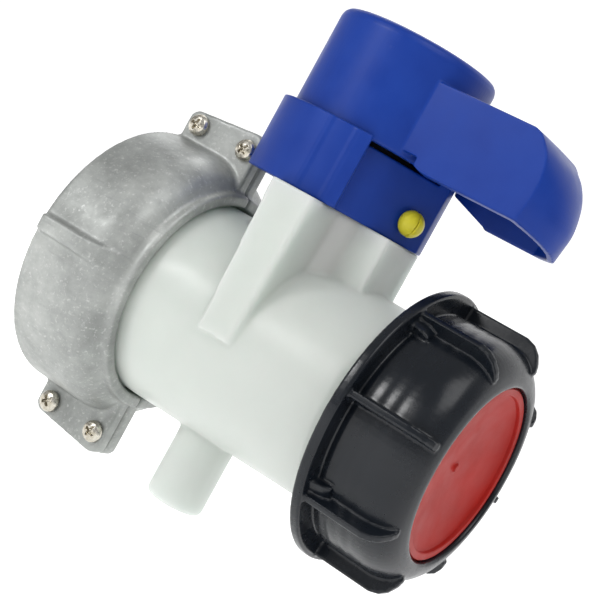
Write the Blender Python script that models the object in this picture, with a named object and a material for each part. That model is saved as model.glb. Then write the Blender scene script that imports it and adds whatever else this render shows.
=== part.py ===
"""Quarter-turn diaphragm valve, DN50, with an S60x6 outlet.

White moulded body with a weir, a two-half aluminium coupling nut on the inlet
side, a blue collar and lever on the bonnet, and a black screw cap with a red
sealing disc on the outlet.

Metres, +Z up. X runs along the flow, from the tank towards the outlet. The
origin is the centre of the coupling nut's tank-side face, on the flow axis.
The bonnet (stem) axis is the vertical line x = STEM_X, y = 0.
"""
import bpy
import bmesh
from math import sin, cos, pi, radians, sqrt, atan2
from mathutils import Vector, Matrix

MM = 0.001

# ---------------------------------------------------------------- dimensions
STEM_X = 55.0            # bonnet axis from the tank-side face of the coupling
GAP = 0.3                # clearance between pieces that touch

# body (x measured from the bonnet axis, radii about the flow axis)
BODY_R_IN = 29.7         # tube radius behind the coupling hole
BODY_R_MID = 29.3
BODY_R_OUT = 28.4        # tube radius in front of the outlet cap
INLET_FLANGE_R = 36.0
INLET_FLANGE_X = (-38.4, -32.7)
SPIGOT_END_X = 64.1
SPIGOT_ROOT_R = 27.2
SPIGOT_CREST_R = 29.85
THREAD_PITCH = 6.0
THREAD_DATUM = 0.80      # all threads on the flow axis start their helix here
BORE_IN_R = 24.5
BORE_OUT_R = 23.4
WEIR_TOP_Z = 4.0
WEIR_HALF = 4.0
NECK_R = 18.3
NECK_UPPER_R = 17.7
NECK_TOP_Z = 61.0
CHAMBER_R = 14.0
NECK_BORE_R = 16.2
LEDGE_Z = 27.0
TOWER_X = 24.35          # outer face of the rectangular tower on the outlet side
TOWER_HALF_Y = 10.8
RIB_OUT_Y = 30.4         # outer face of the two side pillars
STUB_R = 8.3
STUB_BOTTOM_Z = -49.8

# coupling nut
COUP_X = (-55.0, -24.6)
COUP_R = 40.2
COUP_HOLE_R = 30.4
COUP_THREAD_CREST_R = 35.2
COUP_THREAD_ROOT_R = 37.6
LUG_X = (-53.2, -27.0)
LUG_Z = (50.9, 49.2)     # lug height at the outlet end and at the tank end
LUG_HALF_Y = 4.8
SCREW_X = (-48.4, -30.6)
SCREW_Z = 45.2
SCREW_HEAD_R = 3.15

# collar and lock pin
COLLAR_Z = (42.6, 63.6)
COLLAR_R = 26.6
COLLAR_SLEEVE_R = 19.4
COLLAR_HOLE_R = 18.6
WINDOW_FROM = -62.0      # degrees round the bonnet axis from +X
POCKET_NORMAL = -36.0    # direction that the flat pocket wall faces
PIN_TANGENT = 11.7
PIN_Z = 48.9

# bonnet mechanism
LIFT = 12.0              # compressor travel over the lever's quarter turn
CAP_R = 23.5
CAP_Z = (62.5, 92.3)
HOOD_HALF = 16.0         # the lever's hood, half its width
CROSS_PIN_Z = 49.5       # at rest, valve open

# outlet cap
NUT_X = (44.2, 71.4)
NUT_FLANGE_R = 39.3
NUT_BARREL_R = 34.0
NUT_RIB_R = 38.1
NUT_OPEN_R = 25.4
NUT_RIBS = 8
NUT_RIB_PHASE = 9.5      # degrees above the horizontal on the -Y side


# ------------------------------------------------------------------- helpers
def clear_scene():
    for obj in list(bpy.data.objects):
        bpy.data.objects.remove(obj, do_unlink=True)
    for block in (bpy.data.meshes, bpy.data.curves, bpy.data.materials):
        for item in list(block):
            block.remove(item)


def material(name, colour, roughness=0.5, metallic=0.0):
    mat = bpy.data.materials.new(name)
    mat.use_nodes = True
    shader = mat.node_tree.nodes["Principled BSDF"]
    shader.inputs["Base Color"].default_value = (*colour, 1.0)
    shader.inputs["Roughness"].default_value = roughness
    shader.inputs["Metallic"].default_value = metallic
    mat.diffuse_color = (*colour, 1.0)
    return mat


def add(name, bm, mat=None, parent=None, location=(0, 0, 0), angle=40.0):
    """Turns a bmesh drawn in millimetres into a named object in metres."""
    bmesh.ops.remove_doubles(bm, verts=bm.verts, dist=1e-5)
    bmesh.ops.recalc_face_normals(bm, faces=bm.faces)
    bmesh.ops.scale(bm, vec=(MM, MM, MM), verts=bm.verts)
    mesh = bpy.data.meshes.new(name)
    bm.to_mesh(mesh)
    bm.free()
    mesh.shade_smooth()
    mesh.set_sharp_from_angle(angle=radians(angle))
    obj = bpy.data.objects.new(name, mesh)
    bpy.context.scene.collection.objects.link(obj)
    obj.location = [v * MM for v in location]
    if parent:
        obj.parent = parent
    if mat:
        mesh.materials.append(mat)
    return obj


def helper(obj):
    obj.hide_render = True
    obj.display_type = "WIRE"
    return obj


def boolean(obj, other, operation="DIFFERENCE"):
    mod = obj.modifiers.new(operation.title() + "_" + other.name, "BOOLEAN")
    mod.operation = operation
    mod.solver = "EXACT"
    mod.object = other
    return mod


def frame(axis, centre=(0, 0, 0)):
    """Matrix that takes (a, b, along) coordinates to the world for an axis."""
    rot = {"X": Matrix(((0, 0, 1), (1, 0, 0), (0, 1, 0))),
           "Y": Matrix(((0, 1, 0), (0, 0, 1), (1, 0, 0))),
           "Z": Matrix.Identity(3)}[axis]
    return Matrix.Translation(centre) @ rot.to_4x4()


def turned(profile, axis="X", seg=64, centre=(0, 0, 0), phase=0.0):
    """Solid of revolution. profile is a list of (along, radius), closed."""
    bm = bmesh.new()
    m = frame(axis, centre)
    rings = []
    for along, r in profile:
        if r < 1e-6:
            rings.append([bm.verts.new(m @ Vector((0, 0, along)))])
        else:
            rings.append([bm.verts.new(m @ Vector((
                r * cos(2 * pi * k / seg + phase), r * sin(2 * pi * k / seg + phase), along)))
                for k in range(seg)])
    n = len(rings)
    for i in range(n):
        a, b = rings[i], rings[(i + 1) % n]
        if len(a) == 1 and len(b) == 1:
            continue
        for k in range(seg):
            k2 = (k + 1) % seg
            if len(a) == 1:
                bm.faces.new((a[0], b[k2], b[k]))
            elif len(b) == 1:
                bm.faces.new((a[k], a[k2], b[0]))
            else:
                bm.faces.new((a[k], a[k2], b[k2], b[k]))
    return bm


def prism(outline, low, high, axis="Z", centre=(0, 0, 0)):
    """Extrudes a closed outline of (a, b) points along an axis."""
    bm = bmesh.new()
    m = frame(axis, centre)
    lower = [bm.verts.new(m @ Vector((a, b, low))) for a, b in outline]
    upper = [bm.verts.new(m @ Vector((a, b, high))) for a, b in outline]
    bm.faces.new(lower[::-1])
    bm.faces.new(upper)
    n = len(outline)
    for i in range(n):
        j = (i + 1) % n
        bm.faces.new((lower[i], lower[j], upper[j], upper[i]))
    return bm


def loft(sections):
    """Joins closed rings of equal length, given as lists of points."""
    bm = bmesh.new()
    rings = [[bm.verts.new(p) for p in ring] for ring in sections]
    n = len(rings[0])
    for a, b in zip(rings, rings[1:]):
        for k in range(n):
            k2 = (k + 1) % n
            bm.faces.new((a[k], a[k2], b[k2], b[k]))
    bm.faces.new(rings[0][::-1])
    bm.faces.new(rings[-1])
    return bm


def box(x, y, z):
    return prism([(x[0], y[0]), (x[1], y[0]), (x[1], y[1]), (x[0], y[1])], z[0], z[1])


def rounded_rect(x0, x1, y0, y1, r, steps=4):
    out = []
    for cx, cy, start in ((x1 - r, y1 - r, 0), (x0 + r, y1 - r, 90), (x0 + r, y0 + r, 180), (x1 - r, y0 + r, 270)):
        for k in range(steps + 1):
            a = radians(start + 90 * k / steps)
            out.append((cx + r * cos(a), cy + r * sin(a)))
    return out


def arc(r, start, stop, steps):
    return [(r * cos(radians(start + (stop - start) * k / steps)),
             r * sin(radians(start + (stop - start) * k / steps))) for k in range(steps + 1)]


def threaded_rod(x0, x1, root, crest, pitch, rows, seg=24, fade=2.2, plain=(0.0, 0.0)):
    """Rod along X with a right-hand helical thread.

    rows lists (fraction of the pitch, height from 0 at the root to 1 at the
    crest). The thread runs out to the root radius at both ends,
    where plain gives the length of each plain end.
    """
    bm = bmesh.new()
    turns = int((x1 - x0) / pitch) + 6
    # the helix is anchored to one plane, whatever the rod's ends are
    start = THREAD_DATUM + pitch * (int((x0 - THREAD_DATUM) / pitch) - 3)
    columns = []
    for j in range(seg):
        column = []
        for t in range(turns + 1):
            for f, h in rows:
                x = start + pitch * (t + f + j / seg)
                keep = min(1.0, max(0.0, min(x - x0 - plain[0], x1 - plain[1] - x) / fade))
                x = min(max(x, x0), x1)
                r = root + (crest - root) * h * keep
                a = 2 * pi * j / seg
                column.append((x, r * cos(a), r * sin(a)))
        columns.append(column)
    per = len(rows)
    count = len(columns[0])
    verts = [[bm.verts.new(p) for p in c] for c in columns]
    for j in range(seg):
        j2 = (j + 1) % seg
        shift = 0 if j2 else per           # one turn on, the helix has moved by a pitch
        for i in range(count - 1 - shift):
            bm.faces.new((verts[j][i], verts[j][i + 1], verts[j2][i + 1 + shift], verts[j2][i + shift]))
    bmesh.ops.remove_doubles(bm, verts=bm.verts, dist=1e-6)
    bmesh.ops.dissolve_degenerate(bm, edges=bm.edges, dist=1e-6)
    loose = [v for v in bm.verts if not v.link_faces]
    bmesh.ops.delete(bm, geom=loose, context="VERTS")
    for face in list(bm.faces):
        if face.calc_area() < 1e-9:
            bm.faces.remove(face)
    ends = {}
    for side, x in (("low", x0), ("high", x1)):
        ring = [v for v in bm.verts if abs(v.co.x - x) < 1e-4]
        ring.sort(key=lambda v: atan2(v.co.z, v.co.y))
        ends[side] = ring
    bm.faces.new(ends["low"])
    bm.faces.new(ends["high"])
    return bm


# one pitch of the trapezoidal thread: (fraction of the pitch, height)
MALE = ((0.0, 0.0), (0.40, 0.0), (0.55, 1.0), (0.85, 1.0))
FEMALE = ((0.09, 0.0), (0.31, 0.0), (0.46, 1.0), (0.94, 1.0))


# ---------------------------------------------------------------- start here
clear_scene()
datum = bpy.data.objects.new("stem_datum", None)
bpy.context.scene.collection.objects.link(datum)
datum.location = (STEM_X * MM, 0, 0)

HDPE = material("white_hdpe", (0.80, 0.84, 0.82), 0.42)
ALUMINIUM = material("cast_aluminium", (0.47, 0.48, 0.47), 0.42, 1.0)
STEEL = material("nickel_steel", (0.62, 0.60, 0.54), 0.25, 1.0)
BLUE = material("blue_polypropylene", (0.022, 0.075, 0.37), 0.42)
YELLOW = material("yellow_plastic", (0.72, 0.66, 0.05), 0.45)
BLACK = material("black_polypropylene", (0.018, 0.021, 0.026), 0.38)
RED = material("red_plastic", (0.60, 0.06, 0.05), 0.42)
RUBBER = material("black_epdm", (0.02, 0.02, 0.02), 0.7)
RUBBER_GREY = material("grey_gasket", (0.12, 0.12, 0.12), 0.7)
ACETAL = material("natural_acetal", (0.75, 0.75, 0.70), 0.4)


# ---------------------------------------------------------------- valve body
body = add("valve_body", turned([
    (INLET_FLANGE_X[0], 20.0), (INLET_FLANGE_X[0], INLET_FLANGE_R - 0.6), (INLET_FLANGE_X[0] + 0.6, INLET_FLANGE_R),
    (INLET_FLANGE_X[1], INLET_FLANGE_R), (INLET_FLANGE_X[1], BODY_R_IN), (-22.0, BODY_R_IN), (0.0, BODY_R_MID),
    (38.0, BODY_R_OUT), (40.0, SPIGOT_ROOT_R), (42.0, SPIGOT_ROOT_R), (42.5, 25.6), (60.0, 25.6), (60.0, 0.0),
    (INLET_FLANGE_X[0] + 1, 0.0)], "X", 40), HDPE, datum)
# the outlet spigot carries the male thread, and its root runs into the tube
thread = helper(add("spigot_thread", threaded_rod(
    41.2, SPIGOT_END_X, SPIGOT_ROOT_R - 0.3, SPIGOT_CREST_R, THREAD_PITCH, MALE), None, datum))
boolean(body, thread, "UNION")
neck = helper(add("neck_solid", turned([
    (-5.0, 0.0), (-5.0, NECK_R), (COLLAR_Z[0] - GAP, NECK_R), (COLLAR_Z[0] - GAP, NECK_UPPER_R),
    (NECK_TOP_Z - 0.6, NECK_UPPER_R), (NECK_TOP_Z, NECK_UPPER_R - 0.6), (NECK_TOP_Z, 0.0)], "Z", 36), None, datum))
boolean(body, neck, "UNION")

# the two side pillars, a little narrower at their feet
def pillar(side):
    top, foot = (-4.1, 9.9), (-2.3, 8.3)
    rings = []
    for z, (xa, xb) in ((-0.6, foot), (COLLAR_Z[0] - GAP, top)):
        y_out, y_in, r = side * RIB_OUT_Y, side * 10.0, 1.6
        ring = [(xa, y_in, z), (xb, y_in, z)]
        for k in range(4):
            a = radians(90 * k / 3)
            ring.append((xb - r + r * cos(a), y_out - side * (r - r * sin(a)), z))
        ring.append((xa, y_out, z))
        rings.append(ring if side > 0 else ring)
    return loft(rings)

for label, side in (("pillar_near", -1), ("pillar_far", 1)):
    boolean(body, helper(add(label, pillar(side), None, datum)), "UNION")
tower = helper(add("tower", box((5.0, TOWER_X), (-TOWER_HALF_Y, TOWER_HALF_Y), (5.0, COLLAR_Z[0] - GAP)), None, datum))
boolean(body, tower, "UNION")
stub = helper(add("stub", turned([
    (-5.0, 0.0), (-5.0, STUB_R), (STUB_BOTTOM_Z + 1.2, STUB_R), (STUB_BOTTOM_Z + 0.35, STUB_R - 0.4),
    (STUB_BOTTOM_Z, STUB_R - 1.2), (STUB_BOTTOM_Z, 0.0)], "Z", 32), None, datum))
boolean(body, stub, "UNION")

# flow passage: two bores that stop at the weir, joined over it by the chamber
boolean(body, helper(add("inlet_bore", turned([
    (-45.0, 0.0), (-45.0, BORE_IN_R), (-16.0, BORE_IN_R), (-WEIR_HALF, 19.0), (-WEIR_HALF, 0.0)], "X", 40), None, datum)))
boolean(body, helper(add("outlet_bore", turned([
    (WEIR_HALF, 0.0), (WEIR_HALF, 19.0), (16.0, BORE_OUT_R), (70.0, BORE_OUT_R), (70.0, 0.0)], "X", 40), None, datum)))
boolean(body, helper(add("chamber", turned([
    (WEIR_TOP_Z, 0.0), (WEIR_TOP_Z, CHAMBER_R - 1.5), (WEIR_TOP_Z + 1.5, CHAMBER_R), (LEDGE_Z, CHAMBER_R),
    (LEDGE_Z, NECK_BORE_R), (70.0, NECK_BORE_R), (70.0, 0.0)], "Z", 36), None, datum)))
# coring of the stub, open at its foot
boolean(body, helper(add("stub_core", turned([
    (-60.0, 0.0), (-60.0, 5.4), (-36.0, 5.0), (-35.0, 4.0), (-35.0, 0.0)], "Z", 24), None, datum)))


# -------------------------------------------------------------- inlet gasket
add("inlet_gasket", turned([
    (-41.0, 26.0), (-41.0, 34.6), (-38.7, 34.6), (-38.7, 26.0)], "X", 40), RUBBER_GREY, datum)


# ------------------------------------------------------------- coupling nut
coup_profile = [
    (-54.6, 40.2), (-38.5, COUP_R), (-35.0, 39.9), (-32.0, 39.0), (-29.6, 37.4), (-28.0, 35.4), (-27.2, 34.2),
    (-26.4, 33.9), (-25.0, 33.8), (-24.6, 33.4), (COUP_X[1], 31.0), (-25.2, COUP_HOLE_R), (-32.4 + GAP, COUP_HOLE_R),
    (-32.4, COUP_HOLE_R + 0.3), (-32.4, 36.6), (-41.5, 36.6), (-41.5, 33.0),
    (COUP_X[0], 33.0), (COUP_X[0], 39.8)]


def lug_outline(sign):
    x0, x1 = LUG_X
    r = 3.0
    # the root stays inside the wall: over the thread, then over the mouth lip
    pts = [(x0, sign * 38.5), (-32.0, sign * 38.5), (-30.0, sign * 33.2), (x1, sign * 32.5)]
    for k in range(5):
        a = radians(90 * k / 4)
        pts.append((x1 - r + r * cos(a), sign * (LUG_Z[0] - r + r * sin(a))))
    for k in range(5):
        a = radians(90 + 90 * k / 4)
        pts.append((x0 + r + r * cos(a), sign * (LUG_Z[1] - r + r * sin(a))))
    return pts


# Y prisms take (z, x) pairs, because the frame for Y maps a to Z and b to X
lug_solids = []
for label, sign in (("lug_top", 1), ("lug_bottom", -1)):
    lug_solids.append(helper(add(label, prism([(z, x) for x, z in lug_outline(sign)], -LUG_HALF_Y, LUG_HALF_Y, "Y"), None, datum)))
# grip ribs on the outside, flat over the rear half and then falling to the shoulder
grip_solids = []
for label, side in (("grip_near", -1), ("grip_far", 1)):
    rings = []
    for x, out, root, half in ((-54.2, 41.6, 38.6, 2.3), (-53.4, 42.2, 38.6, 2.2), (-40.0, 42.2, 38.6, 2.3),
                               (-33.0, 40.5, 37.9, 2.6), (-28.4, 36.4, 34.3, 2.9), (-26.6, 33.5, 32.4, 3.0)):
        z0 = 2.4
        rings.append([(x, side * root, z0 - half - 0.6), (x, side * out, z0 - half), (x, side * out, z0 + half), (x, side * root, z0 + half + 0.6)])
    grip_solids.append(helper(add(label, loft(rings), None, datum)))
tank_thread = helper(add("tank_thread", threaded_rod(
    -57.0, -41.0, COUP_THREAD_CREST_R, COUP_THREAD_ROOT_R, THREAD_PITCH, FEMALE, plain=(3.0, 0.8)), None, datum))
for name, side in (("coupling_half_front", -1), ("coupling_half_rear", 1)):
    half = add(name, turned(coup_profile, "X", 40), ALUMINIUM, datum, angle=30)
    for solid in lug_solids + [grip_solids[0 if side < 0 else 1]]:
        boolean(half, solid, "UNION")
    boolean(half, tank_thread)
    keep = helper(add(name + "_keep", box((-70, 0), (0.15, 60) if side > 0 else (-60, -0.15), (-70, 70)), None, datum))
    boolean(half, keep, "INTERSECT")
    for k, (x, sign) in enumerate([(x, s) for s in (1, -1) for x in SCREW_X]):
        depth = 4.0 if side > 0 else 8.0
        drill = helper(add(f"{name}_drill_{k}", turned([
            (-8.0, 0.0), (-8.0, 1.95), (depth if side > 0 else 8.0, 1.95), (depth if side > 0 else 8.0, 0.0)],
            "Y", 12, (x, 0, sign * SCREW_Z)), None, datum))
        boolean(half, drill)

# pan head screws, each with a cross recess
for k, (x, sign) in enumerate([(x, s) for s in (1, -1) for x in SCREW_X]):
    head = -LUG_HALF_Y - GAP
    screw = add(f"coupling_screw_{k + 1}", turned([
        (head, 1.65), (head, SCREW_HEAD_R), (head - 0.9, SCREW_HEAD_R), (head - 1.7, SCREW_HEAD_R - 0.55),
        (head - 2.2, SCREW_HEAD_R - 1.7), (head - 2.3, 0.0), (3.6, 0.0), (3.0, 0.9), (2.2, 1.6)], "Y", 14, (0, 0, 0)),
        STEEL, datum, (x, 0, sign * SCREW_Z))
    turn = radians((12, 38, 55, 20)[k])
    for n in range(2):
        slot = prism(rounded_rect(-1.75, 1.75, -0.42, 0.42, 0.2, 1), head - 5.0, head - 0.9, "Y")
        bmesh.ops.rotate(slot, verts=slot.verts, cent=(0, 0, 0), matrix=Matrix.Rotation(turn + n * pi / 2, 3, "Y"))
        boolean(screw, helper(add(f"recess_{k}_{n}", slot, None, datum, (x, 0, sign * SCREW_Z))))


# --------------------------------------------------------------- neck collar
normal = radians(POCKET_NORMAL)
nx, ny = cos(normal), sin(normal)
tx, ty = -ny, nx
reach = sqrt(COLLAR_R ** 2 - COLLAR_SLEEVE_R ** 2)
end_angle = POCKET_NORMAL + atan2(reach, COLLAR_SLEEVE_R) * 180 / pi
outline = arc(COLLAR_R, end_angle, 360 + WINDOW_FROM, 28)
outline += arc(COLLAR_SLEEVE_R, WINDOW_FROM, POCKET_NORMAL, 4)
collar = add("neck_collar", prism(outline, COLLAR_Z[0], COLLAR_Z[1]), BLUE, datum)
boolean(collar, helper(add("collar_bore", turned([
    (30.0, 0.0), (30.0, COLLAR_HOLE_R - 0.6), (70.0, COLLAR_HOLE_R - 0.6), (70.0, 0.0)], "Z", 36), None, datum)))
pocket = arc(24.3, 20.0, 290.0, 20) + arc(20.6, 290.0, 20.0, 20)
boolean(collar, helper(add("collar_pocket", prism(pocket, 46.0, 70.0), None, datum)))
# counterbore that takes the lever's skirt
boolean(collar, helper(add("collar_skirt_room", turned([
    (61.4, 0.0), (61.4, 24.3), (70.0, 24.3), (70.0, 0.0)], "Z", 36), None, datum)))
pin_matrix = Matrix(((tx, 0, nx), (ty, 0, ny), (0, 1, 0)))   # columns: tangent, up, out


def pin_turned(profile, seg=20):
    bm = turned(profile, "Z", seg)
    for v in bm.verts:
        v.co = pin_matrix @ v.co
    return bm


pin_at = (nx * COLLAR_SLEEVE_R + tx * PIN_TANGENT, ny * COLLAR_SLEEVE_R + ty * PIN_TANGENT, PIN_Z)
boolean(collar, helper(add("pin_hole", pin_turned([(-4.4, 0.0), (-4.4, 2.6), (4.0, 2.6), (4.0, 0.0)]), None, datum, pin_at)))

# -------------------------------------------------------------- the lock pin
pin = add("lock_pin", pin_turned([
    (-4.0, 0.0), (-4.0, 1.7), (-3.4, 2.2), (GAP, 2.2), (GAP, 3.2), (1.0, 3.65), (2.0, 3.7), (3.1, 3.3), (4.1, 2.4),
    (4.7, 1.2), (4.9, 0.0)], 24), YELLOW, datum, pin_at)
slit = box((-0.45, 0.45), (-6, 6), (1.6, 8.0))
for v in slit.verts:
    v.co = pin_matrix @ v.co
boolean(pin, helper(add("pin_slit", slit, None, datum, pin_at)))


# ------------------------------------------------------------ bonnet inside
# the diaphragm, lifted clear of the bore: clamped rim, rolling wall and centre
DISC_Z = WEIR_TOP_Z + 2.1 + LIFT  # underside of the compressor disc at rest
add("diaphragm", turned([
    (LEDGE_Z + GAP, 13.4), (LEDGE_Z + GAP, 15.9), (29.5, 15.9), (29.5, 12.9), (26.0, 12.3), (20.5, 11.7),
    (DISC_Z - GAP, 10.8), (DISC_Z - GAP, 0.0), (DISC_Z - 2.0, 0.0), (DISC_Z - 2.0, 11.2), (19.6, 13.1),
    (25.0, 13.5)], "Z", 32), RUBBER, datum)
slot_low, slot_high = CROSS_PIN_Z - LIFT - 2.2, 60.0
insert = add("bonnet_insert", turned([
    (29.8, 12.7), (29.8, 15.9), (55.9, 15.9), (55.9, 12.3), (34.0, 12.3), (33.0, 12.7)], "Z", 32), ACETAL, datum)
boolean(insert, helper(add("insert_slots", box((-2.0, 2.0), (-20, 20), (slot_low, slot_high)), None, datum)))
add("retaining_ring", turned([
    (58.3, 12.6), (58.3, 15.9), (60.5, 15.9), (60.5, 12.6)], "Z", 32), ACETAL, datum)
ring_pts = [(62.0 + 1.1 * sin(2 * pi * k / 6), 13.6 + 1.1 * cos(2 * pi * k / 6)) for k in range(6)]
add("dust_o_ring", turned(ring_pts, "Z", 28), RUBBER, datum)

compressor = add("compressor", turned([
    (DISC_Z, 0.0), (DISC_Z, 9.6), (DISC_Z + 1.2, 10.6), (DISC_Z + 4.0, 10.6), (DISC_Z + 5.0, 9.8), (DISC_Z + 6.0, 5.0),
    (56.0, 5.0), (56.0, 0.0)], "Z", 28), ACETAL, datum)
boolean(compressor, helper(add("cross_hole", turned([
    (-10.0, 0.0), (-10.0, 1.85), (10.0, 1.85), (10.0, 0.0)], "Y", 16, (0, 0, CROSS_PIN_Z)), None, datum)))
add("cross_pin", turned([
    (-15.2, 0.0), (-15.2, 1.2), (-14.9, 1.5), (14.9, 1.5), (15.2, 1.2), (15.2, 0.0)], "Y", 16), STEEL, datum, (0, 0, CROSS_PIN_Z))

# lever group: turns about the bonnet axis
lever_axis = bpy.data.objects.new("lever_axis", None)
bpy.context.scene.collection.objects.link(lever_axis)
lever_axis.parent = datum

sleeve = add("cam_sleeve", turned([
    (30.1, 5.2), (30.1, 11.5), (30.6, 11.95), (56.2, 11.95), (56.2, 15.6), (58.0, 15.6), (58.0, 12.2), (64.2, 12.2),
    (64.2, 5.2)], "Z", 32), ACETAL, lever_axis)
drive = helper(add("drive_square", box((-8.0, 8.0), (-8.0, 8.0), (62.0, 80.0)), None, lever_axis))
boolean(sleeve, drive, "UNION")
boolean(sleeve, helper(add("sleeve_bore", turned([
    (29.0, 0.0), (29.0, 5.5), (66.0, 5.5), (68.0, 3.0), (85.0, 3.0), (85.0, 0.0)], "Z", 24), None, lever_axis)))


def cam_slot(offset):
    """Helical slot: the pin climbs LIFT over a quarter turn of the sleeve."""
    rings = []
    first, last, steps = -19.0, 109.0, 10
    for k in range(steps + 1):
        phi = first + (last - first) * k / steps
        z = CROSS_PIN_Z + LIFT * (phi - 90.0) / 90.0
        a = radians(phi + offset)
        # the slope steepens towards the axis, so the slot is taller there
        h, g = 3.5, 2.5
        rings.append([(4.6 * cos(a), 4.6 * sin(a), z - h), (14 * cos(a), 14 * sin(a), z - g),
                      (14 * cos(a), 14 * sin(a), z + g), (4.6 * cos(a), 4.6 * sin(a), z + h)])
    return loft(rings)


for n in range(2):
    boolean(sleeve, helper(add(f"cam_slot_{n}", cam_slot(180 * n), None, lever_axis)))

# ---------------------------------------------------------- the lever itself
HOOD = (  # z, then x of the outline at the side walls and at the tip
    (57.2, 53.2, 61.5), (61.0, 53.7, 62.0), (66.0, 54.6, 62.4), (71.5, 54.9, 61.2), (75.5, 54.3, 59.4),
    (79.0, 53.0, 56.6), (81.6, 51.0, 53.0), (83.4, 49.0, 49.7), (84.2, 46.6, 46.9))


def hood_section(z, side, tip, inset):
    """Plan outline of the hood at one height: two side walls and a round nose."""
    side, tip, half = side - inset * 0.8, tip - inset, HOOD_HALF - inset
    steps = 8
    pts = [(12.0, -half), (side, -half)]
    for k in range(1, steps):
        y = half * (-1 + 2 * k / steps)
        pts.append((side + (tip - side) * (1 - (y / half) ** 2), y))
    pts += [(side, half), (12.0, half)]
    return [(x, y, z) for x, y in pts]


hood = loft([hood_section(z, a, b, 0.0) for z, a, b in HOOD])
hood_room = loft([hood_section(z, a, b, 2.2) for z, a, b in
                  [(50.0, 52.8, 61.1)] + [row for row in HOOD[1:-2]] + [(82.0, 49.6, 50.6)]])
lever = add("lever", turned([
    (CAP_Z[0], CAP_R - 0.4), (CAP_Z[0] + 0.4, CAP_R), (CAP_Z[1] - 2.6, CAP_R), (CAP_Z[1] - 1.3, CAP_R - 0.35),
    (CAP_Z[1] - 0.4, CAP_R - 1.2), (CAP_Z[1], CAP_R - 2.6), (CAP_Z[1], 0.0), (CAP_Z[1] - 3.0, 0.0),
    (CAP_Z[1] - 3.0, CAP_R - 2.4), (CAP_Z[0], CAP_R - 2.4)], "Z", 36), BLUE, lever_axis)
hood_obj = helper(add("hood", hood, None, lever_axis))
# open the hood from below, leave the cap's own wall standing
boolean(hood_obj, helper(add("hood_room", hood_room, None, lever_axis)))
boolean(hood_obj, helper(add("cap_room", turned([
    (50.0, 0.0), (50.0, CAP_R - 1.2), (95.0, CAP_R - 1.2), (95.0, 0.0)], "Z", 36), None, lever_axis)))
boolean(hood_obj, helper(add("collar_clearance", turned([
    (50.0, 0.0), (50.0, COLLAR_R + 0.7), (64.3, COLLAR_R + 0.7), (64.3, 0.0)], "Z", 36), None, lever_axis)))
# the lower edge is higher on the near wall, and rises towards the cap on both
slope = prism([(-40.0, 45.0), (4.0, 45.0), (4.0, 57.1), (-40.0, 66.2)], 10.0, 70.0, "X")
boolean(hood_obj, helper(add("hood_lower_edge", slope, None, lever_axis)))
heel = prism([(z, x) for x, z in ((5.0, 45.0), (35.5, 45.0), (35.5, 57.6), (22.0, 62.1), (5.0, 62.1))], -30.0, 30.0, "Y")
boolean(hood_obj, helper(add("hood_heel", heel, None, lever_axis)))
boolean(lever, hood_obj, "UNION")
# inner web across the hood, and the hub that takes the drive square
web = box((46.2, 48.0), (-HOOD_HALF + 1.0, HOOD_HALF - 1.0), (63.0, 83.3))
boolean(lever, helper(add("hood_web", web, None, lever_axis)), "UNION")
hub = helper(add("hub", turned([
    (64.6, 0.0), (64.6, 13.2), (CAP_Z[1] - 2.0, 13.8), (CAP_Z[1] - 2.0, 0.0)], "Z", 32), None, lever_axis))
boolean(lever, hub, "UNION")
boolean(lever, helper(add("drive_socket", box((-8.3, 8.3), (-8.3, 8.3), (60.0, 80.4)), None, lever_axis)))


# ---------------------------------------------------------------- outlet cap
cap_axis = bpy.data.objects.new("cap_axis", None)
bpy.context.scene.collection.objects.link(cap_axis)
cap_axis.parent = datum

add("outlet_gasket", turned([
    (64.4, 23.8), (64.4, 28.4), (66.4, 28.4), (66.4, 23.8)], "X", 40), RUBBER, cap_axis)
add("outlet_seal_disc", turned([
    (66.7, 22.9), (66.7, 28.7), (68.9, 28.7), (68.9, 25.0), (69.9, 25.0), (70.25, 24.7), (70.25, 23.9), (69.6, 23.3),
    (68.0, 20.0), (66.6, 12.0), (66.1, 1.3), (66.9, 1.0), (66.9, 0.0), (64.1, 0.0), (64.8, 12.5), (66.0, 20.0)], "X", 36), RED, cap_axis)
nut = add("outlet_cap_nut", turned([
    (NUT_X[0], NUT_FLANGE_R - 0.5), (NUT_X[0] + 0.5, NUT_FLANGE_R), (NUT_X[0] + 2.6, NUT_FLANGE_R),
    (NUT_X[0] + 3.0, NUT_FLANGE_R - 0.4), (NUT_X[0] + 3.0, NUT_BARREL_R + 0.3), (62.0, NUT_BARREL_R), (65.0, 33.6),
    (67.6, 32.6), (69.6, 31.0), (70.8, 29.2), (71.4, 27.0), (NUT_X[1], NUT_OPEN_R + 0.5), (NUT_X[1] - 0.5, NUT_OPEN_R),
    (69.2, NUT_OPEN_R), (69.2, 29.3), (64.4, 29.3), (64.4, 24.0), (NUT_X[0], 24.0)], "X", 40), BLACK, cap_axis)


def nut_rib(angle_deg):
    """Radial fin from the flange to the front shoulder."""
    outline = [(45.5, 31.2), (45.5, NUT_RIB_R), (64.4, NUT_RIB_R - 0.1), (67.0, 37.2), (69.0, 35.5), (70.4, 33.0),
               (70.9, 30.9), (70.2, 29.6), (66.0, 30.6), (62.0, 31.2)]
    bm = prism(outline, -1.05, 1.05)          # (x, r) drawn flat, thickness along Z
    a = radians(angle_deg)
    for v in bm.verts:
        x, r, t = v.co
        v.co = Vector((x, r * cos(a) - t * sin(a), r * sin(a) + t * cos(a)))
    return bm


def nut_gusset(angle_deg):
    a = radians(angle_deg)
    bm = prism([(46.0, 31.2), (46.0, 36.6), (51.4, 35.9), (51.9, 35.3), (51.9, 31.2)], -3.6, 3.6)
    for v in bm.verts:
        x, r, t = v.co
        v.co = Vector((x, r * cos(a) - t * sin(a), r * sin(a) + t * cos(a)))
    return bm


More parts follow.
